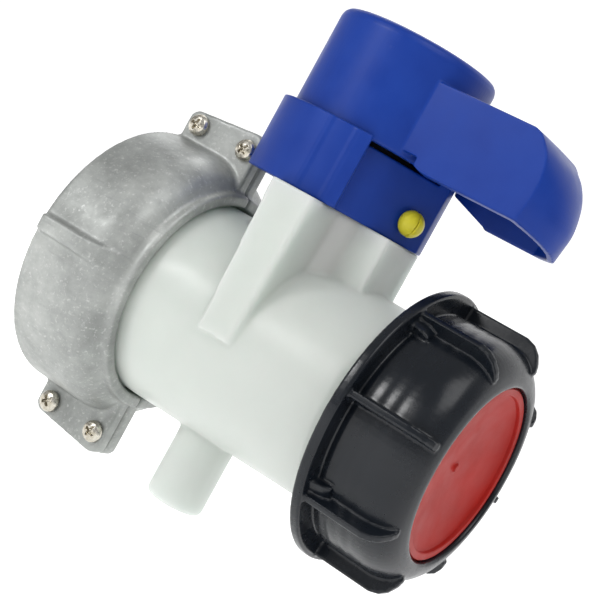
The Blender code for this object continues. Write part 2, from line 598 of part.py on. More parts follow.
for k in range(NUT_RIBS):
    at = 180 - NUT_RIB_PHASE + 360 * k / NUT_RIBS
    boolean(nut, helper(add(f"nut_rib_{k}", nut_rib(at), None, cap_axis)), "UNION")
    boolean(nut, helper(add(f"nut_gusset_{k}", nut_gusset(at), None, cap_axis)), "UNION")
boolean(nut, helper(add("nut_thread", threaded_rod(
    41.0, 66.0, 27.8, 30.5, THREAD_PITCH, FEMALE, plain=(1.0, 2.0), fade=1.6), None, cap_axis)))
boolean(nut, helper(add("nut_mouth", turned([
    (40.0, 0.0), (40.0, 31.6), (44.4, 31.6), (45.7, 30.8), (46.47, 30.8), (46.47, 0.0)], "X", 40), None, cap_axis)))
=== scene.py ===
"""Looks for the diaphragm valve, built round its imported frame.

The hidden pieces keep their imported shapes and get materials. The pieces that
show are modelled again here at a fine resolution, with rounded moulded and
cast edges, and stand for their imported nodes.
"""
import bpy
import bmesh
from math import sin, cos, pi, radians, sqrt, atan2
from mathutils import Vector, Matrix


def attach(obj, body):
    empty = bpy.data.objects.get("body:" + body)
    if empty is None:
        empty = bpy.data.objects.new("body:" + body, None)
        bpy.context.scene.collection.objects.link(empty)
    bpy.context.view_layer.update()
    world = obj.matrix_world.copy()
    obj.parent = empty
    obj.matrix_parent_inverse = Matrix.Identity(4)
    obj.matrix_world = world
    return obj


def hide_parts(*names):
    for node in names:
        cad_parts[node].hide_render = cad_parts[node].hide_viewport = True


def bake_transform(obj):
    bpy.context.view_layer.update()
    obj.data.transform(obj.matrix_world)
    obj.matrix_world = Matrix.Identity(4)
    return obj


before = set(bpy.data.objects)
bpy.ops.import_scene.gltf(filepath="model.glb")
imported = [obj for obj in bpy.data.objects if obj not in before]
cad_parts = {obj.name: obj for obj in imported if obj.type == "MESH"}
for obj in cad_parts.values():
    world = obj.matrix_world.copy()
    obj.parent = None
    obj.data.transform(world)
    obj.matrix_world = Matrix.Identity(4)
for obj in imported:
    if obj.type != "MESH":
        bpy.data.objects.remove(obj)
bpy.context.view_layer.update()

MM = 0.001
HI = 3                   # how much finer the turned pieces are than the frame's
HELPERS = []

# ---------------------------------------------------------------- dimensions
STEM_X = 55.0            # bonnet axis from the tank-side face of the coupling
GAP = 0.3                # clearance between pieces that touch

# body (x measured from the bonnet axis, radii about the flow axis)
BODY_R_IN = 29.7         # tube radius behind the coupling hole
BODY_R_MID = 29.3
BODY_R_OUT = 28.4        # tube radius in front of the outlet cap
INLET_FLANGE_R = 36.0
INLET_FLANGE_X = (-38.4, -32.7)
SPIGOT_END_X = 64.1
SPIGOT_ROOT_R = 27.2
SPIGOT_CREST_R = 29.85
THREAD_PITCH = 6.0
THREAD_DATUM = 0.80      # all threads on the flow axis start their helix here
BORE_IN_R = 24.5
BORE_OUT_R = 23.4
WEIR_TOP_Z = 4.0
WEIR_HALF = 4.0
NECK_R = 18.3
NECK_UPPER_R = 17.7
NECK_TOP_Z = 61.0
CHAMBER_R = 14.0
NECK_BORE_R = 16.2
LEDGE_Z = 27.0
TOWER_X = 24.35          # outer face of the rectangular tower on the outlet side
TOWER_HALF_Y = 10.8
RIB_OUT_Y = 30.4         # outer face of the two side pillars
STUB_R = 8.3
STUB_BOTTOM_Z = -49.8

# coupling nut
COUP_X = (-55.0, -24.6)
COUP_R = 40.2
COUP_HOLE_R = 30.4
COUP_THREAD_CREST_R = 35.2
COUP_THREAD_ROOT_R = 37.6
LUG_X = (-53.2, -27.0)
LUG_Z = (50.9, 49.2)     # lug height at the outlet end and at the tank end
LUG_HALF_Y = 4.8
SCREW_X = (-48.4, -30.6)
SCREW_Z = 45.2
SCREW_HEAD_R = 3.15

# collar and lock pin
COLLAR_Z = (42.6, 63.6)
COLLAR_R = 26.6
COLLAR_SLEEVE_R = 19.4
COLLAR_HOLE_R = 18.6
WINDOW_FROM = -62.0      # degrees round the bonnet axis from +X
POCKET_NORMAL = -36.0    # direction that the flat pocket wall faces
PIN_TANGENT = 11.7
PIN_Z = 48.9

# bonnet mechanism
LIFT = 12.0              # compressor travel over the lever's quarter turn
CAP_R = 23.5
CAP_Z = (62.5, 92.3)
HOOD_HALF = 16.0         # the lever's hood, half its width
CROSS_PIN_Z = 49.5       # at rest, valve open

# outlet cap
NUT_X = (44.2, 71.4)
NUT_FLANGE_R = 39.3
NUT_BARREL_R = 34.0
NUT_RIB_R = 38.1
NUT_OPEN_R = 25.4
NUT_RIBS = 8
NUT_RIB_PHASE = 9.5      # degrees above the horizontal on the -Y side



# ------------------------------------------------------------------- helpers
def add(name, bm, mat=None, parent=None, location=(0, 0, 0), angle=40.0):
    """Turns a bmesh drawn in millimetres about the bonnet axis into an object."""
    bmesh.ops.remove_doubles(bm, verts=bm.verts, dist=1e-5)
    bmesh.ops.recalc_face_normals(bm, faces=bm.faces)
    bmesh.ops.scale(bm, vec=(MM, MM, MM), verts=bm.verts)
    mesh = bpy.data.meshes.new("v_" + name)
    bm.to_mesh(mesh)
    bm.free()
    obj = bpy.data.objects.new("v_" + name, mesh)
    bpy.context.scene.collection.objects.link(obj)
    obj.location = ((location[0] + STEM_X) * MM, location[1] * MM, location[2] * MM)
    if mat:
        mesh.materials.append(mat)
    return obj


def helper(obj):
    HELPERS.append(obj)
    return obj


def settle(obj, node, body, mat, voxel=None, smooth=4, angle=None, factor=0.5):
    """Bakes the modifiers, rounds the edges and hands the piece to the frame."""
    if voxel:
        mod = obj.modifiers.new("Skin", "REMESH")
        mod.mode = "VOXEL"
        mod.voxel_size = voxel * MM
        mod.use_smooth_shade = True
        if smooth:
            mod = obj.modifiers.new("Round", "SMOOTH")
            mod.factor = factor
            mod.iterations = smooth
    bpy.context.view_layer.update()
    graph = bpy.context.evaluated_depsgraph_get()
    mesh = bpy.data.meshes.new_from_object(obj.evaluated_get(graph))
    obj.modifiers.clear()
    obj.data = mesh
    mesh.materials.clear()
    mesh.materials.append(mat)
    mesh.shade_smooth()
    if angle:
        mesh.set_sharp_from_angle(angle=radians(angle))
    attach(obj, body)
    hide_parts(node)
    return obj

def boolean(obj, other, operation="DIFFERENCE"):
    mod = obj.modifiers.new(operation.title() + "_" + other.name, "BOOLEAN")
    mod.operation = operation
    mod.solver = "EXACT"
    mod.object = other
    return mod


def along_axis(axis, centre=(0, 0, 0)):
    """Matrix that takes (a, b, along) coordinates to the world for an axis."""
    rot = {"X": Matrix(((0, 0, 1), (1, 0, 0), (0, 1, 0))),
           "Y": Matrix(((0, 1, 0), (0, 0, 1), (1, 0, 0))),
           "Z": Matrix.Identity(3)}[axis]
    return Matrix.Translation(centre) @ rot.to_4x4()


def turned(profile, axis="X", seg=64, centre=(0, 0, 0), phase=0.0):
    """Solid of revolution. profile is a list of (along, radius), closed."""
    seg = seg * HI
    bm = bmesh.new()
    m = along_axis(axis, centre)
    rings = []
    for along, r in profile:
        if r < 1e-6:
            rings.append([bm.verts.new(m @ Vector((0, 0, along)))])
        else:
            rings.append([bm.verts.new(m @ Vector((
                r * cos(2 * pi * k / seg + phase), r * sin(2 * pi * k / seg + phase), along)))
                for k in range(seg)])
    n = len(rings)
    for i in range(n):
        a, b = rings[i], rings[(i + 1) % n]
        if len(a) == 1 and len(b) == 1:
            continue
        for k in range(seg):
            k2 = (k + 1) % seg
            if len(a) == 1:
                bm.faces.new((a[0], b[k2], b[k]))
            elif len(b) == 1:
                bm.faces.new((a[k], a[k2], b[0]))
            else:
                bm.faces.new((a[k], a[k2], b[k2], b[k]))
    return bm


def prism(outline, low, high, axis="Z", centre=(0, 0, 0)):
    """Extrudes a closed outline of (a, b) points along an axis."""
    bm = bmesh.new()
    m = along_axis(axis, centre)
    lower = [bm.verts.new(m @ Vector((a, b, low))) for a, b in outline]
    upper = [bm.verts.new(m @ Vector((a, b, high))) for a, b in outline]
    bm.faces.new(lower[::-1])
    bm.faces.new(upper)
    n = len(outline)
    for i in range(n):
        j = (i + 1) % n
        bm.faces.new((lower[i], lower[j], upper[j], upper[i]))
    return bm


def loft(sections):
    """Joins closed rings of equal length, given as lists of points."""
    bm = bmesh.new()
    rings = [[bm.verts.new(p) for p in ring] for ring in sections]
    n = len(rings[0])
    for a, b in zip(rings, rings[1:]):
        for k in range(n):
            k2 = (k + 1) % n
            bm.faces.new((a[k], a[k2], b[k2], b[k]))
    bm.faces.new(rings[0][::-1])
    bm.faces.new(rings[-1])
    return bm


def box(x, y, z):
    return prism([(x[0], y[0]), (x[1], y[0]), (x[1], y[1]), (x[0], y[1])], z[0], z[1])


def curve(points, per=5):
    """A smooth line of points through the given ones."""
    out = []
    n = len(points)
    for i in range(n - 1):
        p0, p1, p2, p3 = points[max(i - 1, 0)], points[i], points[i + 1], points[min(i + 2, n - 1)]
        for k in range(per):
            t = k / per
            out.append(tuple(0.5 * (2 * b + (c - a) * t + (2 * a - 5 * b + 4 * c - d) * t * t + (3 * b - a - 3 * c + d) * t ** 3)
                             for a, b, c, d in zip(p0, p1, p2, p3)))
    out.append(tuple(points[-1]))
    return out


def rounded_rect(x0, x1, y0, y1, r, steps=4):
    out = []
    for cx, cy, start in ((x1 - r, y1 - r, 0), (x0 + r, y1 - r, 90), (x0 + r, y0 + r, 180), (x1 - r, y0 + r, 270)):
        for k in range(steps + 1):
            a = radians(start + 90 * k / steps)
            out.append((cx + r * cos(a), cy + r * sin(a)))
    return out


def arc(r, start, stop, steps):
    return [(r * cos(radians(start + (stop - start) * k / steps)),
             r * sin(radians(start + (stop - start) * k / steps))) for k in range(steps + 1)]


def threaded_rod(x0, x1, root, crest, pitch, rows, seg=60, fade=2.2, plain=(0.0, 0.0)):
    """Rod along X with a right-hand helical thread.

    rows lists (fraction of the pitch, height from 0 at the root to 1 at the
    crest). The thread runs out to the root radius at both ends,
    where plain gives the length of each plain end.
    """
    bm = bmesh.new()
    turns = int((x1 - x0) / pitch) + 6
    # the helix is anchored to one plane, whatever the rod's ends are
    start = THREAD_DATUM + pitch * (int((x0 - THREAD_DATUM) / pitch) - 3)
    columns = []
    for j in range(seg):
        column = []
        for t in range(turns + 1):
            for f, h in rows:
                x = start + pitch * (t + f + j / seg)
                keep = min(1.0, max(0.0, min(x - x0 - plain[0], x1 - plain[1] - x) / fade))
                x = min(max(x, x0), x1)
                r = root + (crest - root) * h * keep
                a = 2 * pi * j / seg
                column.append((x, r * cos(a), r * sin(a)))
        columns.append(column)
    per = len(rows)
    count = len(columns[0])
    verts = [[bm.verts.new(p) for p in c] for c in columns]
    for j in range(seg):
        j2 = (j + 1) % seg
        shift = 0 if j2 else per           # one turn on, the helix has moved by a pitch
        for i in range(count - 1 - shift):
            bm.faces.new((verts[j][i], verts[j][i + 1], verts[j2][i + 1 + shift], verts[j2][i + shift]))
    bmesh.ops.remove_doubles(bm, verts=bm.verts, dist=1e-6)
    bmesh.ops.dissolve_degenerate(bm, edges=bm.edges, dist=1e-6)
    loose = [v for v in bm.verts if not v.link_faces]
    bmesh.ops.delete(bm, geom=loose, context="VERTS")
    for face in list(bm.faces):
        if face.calc_area() < 1e-9:
            bm.faces.remove(face)
    ends = {}
    for side, x in (("low", x0), ("high", x1)):
        ring = [v for v in bm.verts if abs(v.co.x - x) < 1e-4]
        ring.sort(key=lambda v: atan2(v.co.z, v.co.y))
        ends[side] = ring
    bm.faces.new(ends["low"])
    bm.faces.new(ends["high"])
    return bm


# one pitch of the trapezoidal thread: (fraction of the pitch, height)
MALE = ((0.0, 0.0), (0.40, 0.0), (0.55, 1.0), (0.85, 1.0))
FEMALE = ((0.09, 0.0), (0.31, 0.0), (0.46, 1.0), (0.94, 1.0))


# ------------------------------------------------------------------ materials
def nodes_of(name):
    mat = bpy.data.materials.new(name)
    mat.use_nodes = True
    tree = mat.node_tree
    return mat, tree, tree.nodes["Principled BSDF"]


def noise(tree, scale, detail=4.0, rough=0.5, stretch=None, kind="ShaderNodeTexNoise"):
    """A noise texture in metres, so its scale is features per metre."""
    coord = tree.nodes.new("ShaderNodeTexCoord")
    source = coord.outputs["Object"]
    if stretch:
        mapping = tree.nodes.new("ShaderNodeMapping")
        mapping.inputs["Scale"].default_value = stretch[:3]
        if len(stretch) > 3:
            mapping.inputs["Rotation"].default_value = stretch[3:]
        tree.links.new(source, mapping.inputs["Vector"])
        source = mapping.outputs["Vector"]
    tex = tree.nodes.new(kind)
    tree.links.new(source, tex.inputs["Vector"])
    tex.inputs["Scale"].default_value = scale
    if "Detail" in tex.inputs:
        tex.inputs["Detail"].default_value = detail
        tex.inputs["Roughness"].default_value = rough
    return tex.outputs[0]


def ramp(tree, value, stops):
    node = tree.nodes.new("ShaderNodeValToRGB")
    tree.links.new(value, node.inputs["Fac"])
    elements = node.color_ramp.elements
    while len(elements) < len(stops):
        elements.new(0.5)
    for element, (at, colour) in zip(elements, stops):
        element.position = at
        element.color = (*colour, 1.0) if len(colour) == 3 else colour
    return node.outputs["Color"]


def grey(a, b, lo=0.35, hi=0.65):
    return [(lo, (a, a, a)), (hi, (b, b, b))]


def mix(tree, factor, a, b, mode="MIX"):
    node = tree.nodes.new("ShaderNodeMix")
    node.data_type = "RGBA"
    node.blend_type = mode
    for socket, value in ((node.inputs["Factor"], factor), (node.inputs[6], a), (node.inputs[7], b)):
        if hasattr(value, "links") or hasattr(value, "is_linked"):
            tree.links.new(value, socket)
        elif isinstance(value, (int, float)):
            socket.default_value = value
        else:
            socket.default_value = (*value, 1.0)
    return node.outputs[2]


def bump(tree, shader, layers):
    """Stacks bump layers, each (value, strength, distance in metres)."""
    last = None
    for value, strength, distance in layers:
        node = tree.nodes.new("ShaderNodeBump")
        node.inputs["Strength"].default_value = strength
        node.inputs["Distance"].default_value = distance
        tree.links.new(value, node.inputs["Height"])
        if last:
            tree.links.new(last, node.inputs["Normal"])
        last = node.outputs["Normal"]
    tree.links.new(last, shader.inputs["Normal"])


def plastic(name, base, shade, rough=(0.34, 0.46), coarse=60.0, grain=2600.0, depth=0.00004, scuffs=0.0, subsurface=0.0, radius=(0.004, 0.004, 0.004), specular=0.5):
    """Moulded plastic: slow colour drift, a fine grain, and scuffs that rub it pale."""
    mat, tree, shader = nodes_of(name)
    shader.inputs["Specular IOR Level"].default_value = specular
    colour = ramp(tree, noise(tree, coarse, 5.0, 0.55), [(0.32, shade), (0.68, base)])
    if scuffs:
        scratch = ramp(tree, noise(tree, 90.0, 8.0, 0.7, (1.0, 9.0, 1.4, 0.4, 0.9, 0.3)), [(0.64, (0, 0, 0)), (0.70, (1, 1, 1))])
        patch = ramp(tree, noise(tree, 38.0, 2.0), [(0.50, (0, 0, 0)), (0.66, (scuffs, scuffs, scuffs))])
        both = mix(tree, 1.0, scratch, patch, "MULTIPLY")
        pale = tuple(min(1.0, c * 0.6 + 0.22) for c in base)
        colour = mix(tree, both, colour, pale)
    tree.links.new(colour, shader.inputs["Base Color"])
    tree.links.new(ramp(tree, noise(tree, 140.0, 6.0, 0.6), grey(*rough)), shader.inputs["Roughness"])
    if subsurface:
        shader.inputs["Subsurface Weight"].default_value = subsurface
        shader.inputs["Subsurface Radius"].default_value = radius
        shader.inputs["Subsurface Scale"].default_value = 1.0
    bump(tree, shader, [(noise(tree, coarse * 1.6, 3.0), 0.35, 0.00012), (noise(tree, grain, 3.0), 0.35, depth)])
    return mat


def aluminium(name):
    """Die-cast metal: cloudy grey, speckled, with pits, scratches and soot."""
    mat, tree, shader = nodes_of(name)
    cloud = ramp(tree, noise(tree, 55.0, 9.0, 0.68), [(0.30, (0.225, 0.236, 0.226)), (0.50, (0.34, 0.353, 0.34)), (0.70, (0.48, 0.495, 0.475))])
    speck = ramp(tree, noise(tree, 900.0, 5.0, 0.7), [(0.56, (0, 0, 0)), (0.68, (0.45, 0.45, 0.45))])
    colour = mix(tree, speck, cloud, (0.70, 0.70, 0.69))
    streak = ramp(tree, noise(tree, 60.0, 8.0, 0.7, (1.0, 1.0, 14.0, 0.5, 0.2, 0.0)), [(0.60, (0, 0, 0)), (0.72, (0.5, 0.5, 0.5))])
    colour = mix(tree, streak, colour, (0.24, 0.245, 0.25))
    stain = ramp(tree, noise(tree, 30.0, 5.0, 0.6), [(0.60, (0, 0, 0)), (0.78, (0.55, 0.55, 0.55))])
    colour = mix(tree, stain, colour, (0.20, 0.20, 0.21))
    tree.links.new(colour, shader.inputs["Base Color"])
    shader.inputs["Metallic"].default_value = 0.42
    tree.links.new(ramp(tree, noise(tree, 120.0, 8.0, 0.65), grey(0.36, 0.56)), shader.inputs["Roughness"])
    bump(tree, shader, [(noise(tree, 130.0, 4.0, 0.5), 0.5, 0.0002), (noise(tree, 1500.0, 5.0, 0.6), 0.45, 0.00006),
                        (noise(tree, 160.0, 6.0, 0.6, (0.6, 10.0, 1.0, 0.2, 0.7, 0.9)), 0.25, 0.00008)])
    return mat


def metal(name, base, shade, rough=(0.18, 0.34)):
    mat, tree, shader = nodes_of(name)
    tree.links.new(ramp(tree, noise(tree, 420.0, 6.0, 0.6), [(0.35, shade), (0.62, base)]), shader.inputs["Base Color"])
    shader.inputs["Metallic"].default_value = 1.0
    tree.links.new(ramp(tree, noise(tree, 900.0, 4.0), grey(*rough)), shader.inputs["Roughness"])
    bump(tree, shader, [(noise(tree, 1800.0, 4.0), 0.2, 0.00003)])
    return mat


HDPE = plastic("hdpe_white", (0.610, 0.643, 0.605), (0.580, 0.612, 0.580), (0.30, 0.42), 26.0, 1500.0, 0.00002,
               subsurface=0.9, radius=(0.0100, 0.0112, 0.0108), specular=0.35)
BLUE = plastic("pp_blue", (0.0034, 0.038, 0.285), (0.0026, 0.031, 0.250), (0.34, 0.44), 70.0, 2400.0, 0.00003, scuffs=0.06, specular=0.26)
YELLOW = plastic("pin_yellow", (0.74, 0.66, 0.035), (0.64, 0.57, 0.03), (0.30, 0.42), 300.0, 3000.0, 0.00002,
                 subsurface=0.15, radius=(0.001, 0.001, 0.0004), specular=0.35)
BLACK = plastic("pp_black", (0.0070, 0.0095, 0.0140), (0.005, 0.0070, 0.0105), (0.20, 0.31), 90.0, 2200.0, 0.00003, scuffs=0.08, specular=0.36)
RED = plastic("disc_red", (0.385, 0.016, 0.011), (0.31, 0.012, 0.008), (0.34, 0.46), 60.0, 2400.0, 0.00003, scuffs=0.10, specular=0.14)
RUBBER = plastic("rubber_black", (0.020, 0.020, 0.021), (0.014, 0.014, 0.015), (0.60, 0.75), 120.0, 1800.0, 0.00005)
GASKET = plastic("gasket_grey", (0.10, 0.10, 0.10), (0.075, 0.075, 0.078), (0.62, 0.78), 150.0, 1500.0, 0.00006)
ACETAL = plastic("acetal_natural", (0.70, 0.70, 0.64), (0.64, 0.64, 0.58), (0.34, 0.45), 90.0, 2000.0, 0.00002,
                 subsurface=0.2, radius=(0.002, 0.002, 0.002))
ALUMINIUM = aluminium("aluminium_cast")
STEEL = metal("steel_nickel", (0.66, 0.63, 0.56), (0.42, 0.38, 0.30))

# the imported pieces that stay
for node, mat in (("inlet_gasket", GASKET), ("bonnet_insert", ACETAL), ("retaining_ring", ACETAL),
                  ("dust_o_ring", RUBBER), ("compressor", ACETAL), ("cross_pin", STEEL), ("cam_sleeve", ACETAL), ("outlet_gasket", RUBBER)):
    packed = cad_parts[node]
    packed.data.materials.clear()
    packed.data.materials.append(mat)


datum = lever_axis = cap_axis = None
# ---------------------------------------------------------------- valve body
body = add("valve_body", turned([
    (INLET_FLANGE_X[0], 20.0), (INLET_FLANGE_X[0], INLET_FLANGE_R - 0.6), (INLET_FLANGE_X[0] + 0.6, INLET_FLANGE_R),
    (INLET_FLANGE_X[1], INLET_FLANGE_R), (INLET_FLANGE_X[1], BODY_R_IN), (-22.0, BODY_R_IN), (0.0, BODY_R_MID),
    (38.0, BODY_R_OUT), (40.0, SPIGOT_ROOT_R), (42.0, SPIGOT_ROOT_R), (42.5, 25.6), (60.0, 25.6), (60.0, 0.0),
    (INLET_FLANGE_X[0] + 1, 0.0)], "X", 40), None, datum)
# the outlet spigot carries the male thread, and its root runs into the tube
thread = helper(add("spigot_thread", threaded_rod(
    41.2, SPIGOT_END_X, SPIGOT_ROOT_R - 0.3, SPIGOT_CREST_R, THREAD_PITCH, MALE), None, datum))
boolean(body, thread, "UNION")
neck = helper(add("neck_solid", turned([
    (-5.0, 0.0), (-5.0, NECK_R), (COLLAR_Z[0] - GAP, NECK_R), (COLLAR_Z[0] - GAP, NECK_UPPER_R),
    (NECK_TOP_Z - 0.6, NECK_UPPER_R), (NECK_TOP_Z, NECK_UPPER_R - 0.6), (NECK_TOP_Z, 0.0)], "Z", 36), None, datum))
boolean(body, neck, "UNION")

# the two side pillars, a little narrower at their feet
def pillar(side):
    top, foot = (-4.1, 9.9), (-2.3, 8.3)
    rings = []
    for z, (xa, xb) in ((-0.6, foot), (COLLAR_Z[0] - 0.02, top)):
        y_out, y_in, r = side * RIB_OUT_Y, side * 10.0, 1.6
        ring = [(xa, y_in, z), (xb, y_in, z)]
        for k in range(7):
            a = radians(90 * k / 6)
            ring.append((xb - r + r * cos(a), y_out - side * (r - r * sin(a)), z))
        ring.append((xa, y_out, z))
        rings.append(ring if side > 0 else ring)
    return loft(rings)

for label, side in (("pillar_near", -1), ("pillar_far", 1)):
    boolean(body, helper(add(label, pillar(side), None, datum)), "UNION")
tower = helper(add("tower", box((5.0, TOWER_X), (-TOWER_HALF_Y, TOWER_HALF_Y), (5.0, COLLAR_Z[0] - 0.02)), None, datum))
boolean(body, tower, "UNION")
stub = helper(add("stub", turned([
    (-5.0, 0.0), (-5.0, STUB_R), (STUB_BOTTOM_Z + 1.2, STUB_R), (STUB_BOTTOM_Z + 0.35, STUB_R - 0.4),
    (STUB_BOTTOM_Z, STUB_R - 1.2), (STUB_BOTTOM_Z, 0.0)], "Z", 32), None, datum))
boolean(body, stub, "UNION")

# flow passage: two bores that stop at the weir, joined over it by the chamber
boolean(body, helper(add("inlet_bore", turned([
    (-45.0, 0.0), (-45.0, BORE_IN_R), (-16.0, BORE_IN_R), (-WEIR_HALF, 19.0), (-WEIR_HALF, 0.0)], "X", 40), None, datum)))
boolean(body, helper(add("outlet_bore", turned([
    (WEIR_HALF, 0.0), (WEIR_HALF, 19.0), (16.0, BORE_OUT_R), (70.0, BORE_OUT_R), (70.0, 0.0)], "X", 40), None, datum)))
boolean(body, helper(add("chamber", turned([
    (WEIR_TOP_Z, 0.0), (WEIR_TOP_Z, CHAMBER_R - 1.5), (WEIR_TOP_Z + 1.5, CHAMBER_R), (LEDGE_Z, CHAMBER_R),
    (LEDGE_Z, NECK_BORE_R), (70.0, NECK_BORE_R), (70.0, 0.0)], "Z", 36), None, datum)))
# coring of the stub, open at its foot
boolean(body, helper(add("stub_core", turned([
    (-60.0, 0.0), (-60.0, 5.4), (-36.0, 5.0), (-35.0, 4.0), (-35.0, 0.0)], "Z", 24), None, datum)))


settle(body, "valve_body", "valve", HDPE, voxel=0.55, smooth=5)


# ------------------------------------------------------------- coupling nut
coup_profile = [
    (-54.6, 40.2), *curve([(-39.5, COUP_R), (-37.0, 40.15), (-34.5, 39.75), (-32.0, 38.9), (-29.8, 37.5), (-28.2, 35.7), (-27.3, 34.3)]),
    (-26.7, 33.75), (-26.2, 34.0), (-25.2, 34.0), (-24.7, 33.5), (COUP_X[1], 31.0), (-25.2, COUP_HOLE_R), (-32.4 + GAP, COUP_HOLE_R),
    (-32.4, COUP_HOLE_R + 0.3), (-32.4, 36.6), (-41.5, 36.6), (-41.5, 33.0),
    (COUP_X[0], 33.0), (COUP_X[0], 39.8)]


def lug_outline(sign):
    x0, x1 = LUG_X
    r = 3.0
    # the root stays inside the wall: over the thread, then over the mouth lip
    pts = [(x0, sign * 38.5), (-32.0, sign * 38.5), (-30.0, sign * 33.2), (x1, sign * 32.5)]
    for k in range(5):
        a = radians(90 * k / 4)
        pts.append((x1 - r + r * cos(a), sign * (LUG_Z[0] - r + r * sin(a))))
    for k in range(5):
        a = radians(90 + 90 * k / 4)
        pts.append((x0 + r + r * cos(a), sign * (LUG_Z[1] - r + r * sin(a))))
    return pts


# Y prisms take (z, x) pairs, because the frame for Y maps a to Z and b to X
lug_solids = []
for label, sign in (("lug_top", 1), ("lug_bottom", -1)):
    lug_solids.append(helper(add(label, prism([(z, x) for x, z in lug_outline(sign)], -LUG_HALF_Y, LUG_HALF_Y, "Y"), None, datum)))
# grip ribs on the outside, flat over the rear half and then falling to the shoulder
grip_solids = []
for label, side in (("grip_near", -1), ("grip_far", 1)):
    rings = []
    for x, out, root, half in ((-54.2, 41.6, 38.6, 2.3), (-53.4, 42.2, 38.6, 2.2), (-40.0, 42.2, 38.6, 2.3),
                               (-33.0, 40.5, 37.9, 2.6), (-28.4, 36.4, 34.3, 2.9), (-26.6, 33.5, 32.4, 3.0)):
        z0 = 2.4
        rings.append([(x, side * root, z0 - half - 0.6), (x, side * out, z0 - half), (x, side * out, z0 + half), (x, side * root, z0 + half + 0.6)])
    grip_solids.append(helper(add(label, loft(rings), None, datum)))
tank_thread = helper(add("tank_thread", threaded_rod(
    -57.0, -41.0, COUP_THREAD_CREST_R, COUP_THREAD_ROOT_R, THREAD_PITCH, FEMALE, plain=(3.0, 0.8)), None, datum))
for name, side in (("coupling_half_front", -1), ("coupling_half_rear", 1)):
    half = add(name, turned(coup_profile, "X", 40), None, datum)
    for solid in lug_solids + [grip_solids[0 if side < 0 else 1]]:
        boolean(half, solid, "UNION")
    boolean(half, tank_thread)
    keep = helper(add(name + "_keep", box((-70, 0), (0.15, 60) if side > 0 else (-60, -0.15), (-70, 70)), None, datum))
    boolean(half, keep, "INTERSECT")
    for k, (x, sign) in enumerate([(x, s) for s in (1, -1) for x in SCREW_X]):
        depth = 4.0 if side > 0 else 8.0
        drill = helper(add(f"{name}_drill_{k}", turned([
            (-8.0, 0.0), (-8.0, 1.95), (depth if side > 0 else 8.0, 1.95), (depth if side > 0 else 8.0, 0.0)],
            "Y", 12, (x, 0, sign * SCREW_Z)), None, datum))
        boolean(half, drill)
    settle(half, name, "coupling", ALUMINIUM, voxel=0.55, smooth=4)

# pan head screws, each with a cross recess
for k, (x, sign) in enumerate([(x, s) for s in (1, -1) for x in SCREW_X]):
    head = -LUG_HALF_Y - GAP
    screw = add(f"coupling_screw_{k + 1}", turned([
        (head, 1.65), (head, SCREW_HEAD_R), (head - 0.9, SCREW_HEAD_R), (head - 1.7, SCREW_HEAD_R - 0.55),
        (head - 2.2, SCREW_HEAD_R - 1.7), (head - 2.3, 0.0), (3.6, 0.0), (3.0, 0.9), (2.2, 1.6)], "Y", 14, (0, 0, 0)),
        None, datum, (x, 0, sign * SCREW_Z))
    turn = radians((12, 38, 55, 20)[k])
    for n in range(2):
        slot = prism(rounded_rect(-1.75, 1.75, -0.42, 0.42, 0.2, 1), head - 5.0, head - 0.9, "Y")
        bmesh.ops.rotate(slot, verts=slot.verts, cent=(0, 0, 0), matrix=Matrix.Rotation(turn + n * pi / 2, 3, "Y"))
        boolean(screw, helper(add(f"recess_{k}_{n}", slot, None, datum, (x, 0, sign * SCREW_Z))))
    settle(screw, f"coupling_screw_{k + 1}", "coupling", STEEL, voxel=0.13, smooth=3)


# the diaphragm: its rim clamped on the ledge, its centre drawn raised by the lever's lift
DISC_Z = WEIR_TOP_Z + 2.1 + LIFT
rubber = add("diaphragm", turned([
    (LEDGE_Z + GAP, 13.4), (LEDGE_Z + GAP, 15.9), (29.5, 15.9), (29.5, 12.9),
    *curve([(27.5, 12.55), (26.0, 12.3), (23.5, 12.0), (20.5, 11.7), (18.8, 11.4), (DISC_Z - GAP, 10.8)], 3), (DISC_Z - GAP, 6.0), (DISC_Z - GAP, 0.0),
    (DISC_Z - 2.0, 0.0), (DISC_Z - 2.0, 6.0), *curve([(DISC_Z - 2.0, 11.2), (17.5, 12.7), (19.6, 13.1), (22.5, 13.35), (25.0, 13.5)], 3)], "Z", 24))
rubber.data.materials.append(RUBBER)
rubber.data.shade_smooth()
rubber.data.set_sharp_from_angle(angle=radians(50))
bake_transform(rubber)
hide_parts("diaphragm")


# --------------------------------------------------------------- neck collar
normal = radians(POCKET_NORMAL)
nx, ny = cos(normal), sin(normal)
tx, ty = -ny, nx
reach = sqrt(COLLAR_R ** 2 - COLLAR_SLEEVE_R ** 2)
end_angle = POCKET_NORMAL + atan2(reach, COLLAR_SLEEVE_R) * 180 / pi
outline = arc(COLLAR_R, end_angle, 360 + WINDOW_FROM, 120)
outline += arc(COLLAR_SLEEVE_R, WINDOW_FROM, POCKET_NORMAL, 16)
collar = add("neck_collar", prism(outline, COLLAR_Z[0], COLLAR_Z[1]), None, datum)
boolean(collar, helper(add("collar_bore", turned([
    (30.0, 0.0), (30.0, COLLAR_HOLE_R - 0.6), (70.0, COLLAR_HOLE_R - 0.6), (70.0, 0.0)], "Z", 36), None, datum)))
pocket = arc(24.3, 20.0, 290.0, 90) + arc(20.6, 290.0, 20.0, 90)
boolean(collar, helper(add("collar_pocket", prism(pocket, 46.0, 70.0), None, datum)))
# counterbore that takes the lever's skirt
boolean(collar, helper(add("collar_skirt_room", turned([
    (61.4, 0.0), (61.4, 24.3), (70.0, 24.3), (70.0, 0.0)], "Z", 36), None, datum)))
